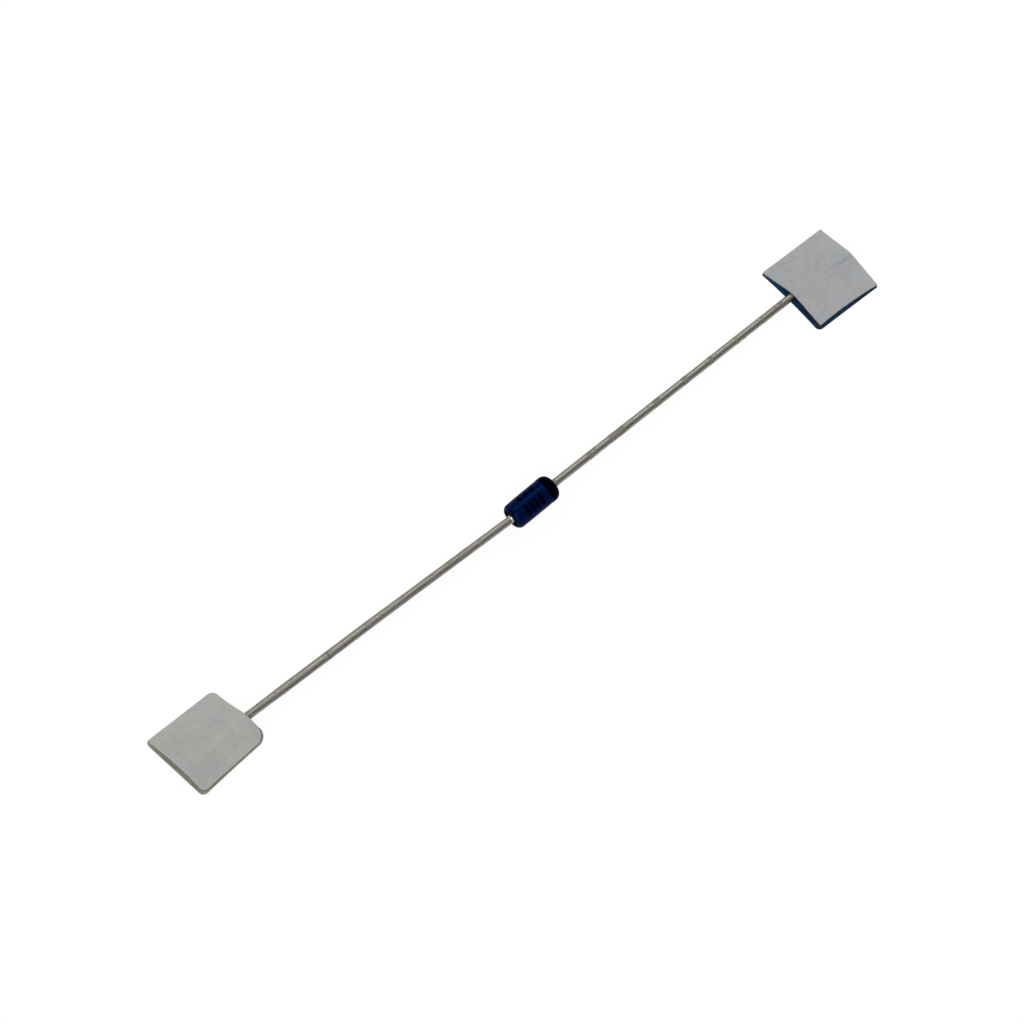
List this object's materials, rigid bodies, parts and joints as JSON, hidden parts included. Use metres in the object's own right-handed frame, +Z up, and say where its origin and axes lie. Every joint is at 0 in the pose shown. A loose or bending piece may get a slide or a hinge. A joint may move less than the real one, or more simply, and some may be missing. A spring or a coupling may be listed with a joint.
{
  "type": "rectifier diode",
  "caption": "Small axial-lead diode in a blue glass sleeve with a dark cathode band, its two straight tinned leads still held in cut squares of carrier tape.",
  "frame": {"origin": "on the resting surface, under the middle of the glass body", "axes": "+X along the glass body towards the banded cathode end, +Z up from the surface it lies on"},
  "size_m": [0.064, 0.0087, 0.0021],
  "materials": {
    "blue_glass": "gloss",
    "plug_metal": "satin",
    "silicon": "gloss",
    "silver": "satin",
    "tinned_wire": "satin",
    "black_ink": "satin",
    "white_tape": "matte",
    "blue_tape": "matte"
  },
  "bodies": {
    "root": {"glass_sleeve": "blue_glass", "anode_plug": "plug_metal", "cathode_plug": "plug_metal", "silicon_die": "silicon", "contact_bump": "silver", "anode_lead": "tinned_wire", "cathode_lead": "tinned_wire", "cathode_band": "black_ink", "type_marks": "black_ink", "anode_bottom_tape": "white_tape", "anode_top_tape": "white_tape", "cathode_bottom_tape": "blue_tape", "cathode_top_tape": "white_tape"}
  },
  "joints": []
}
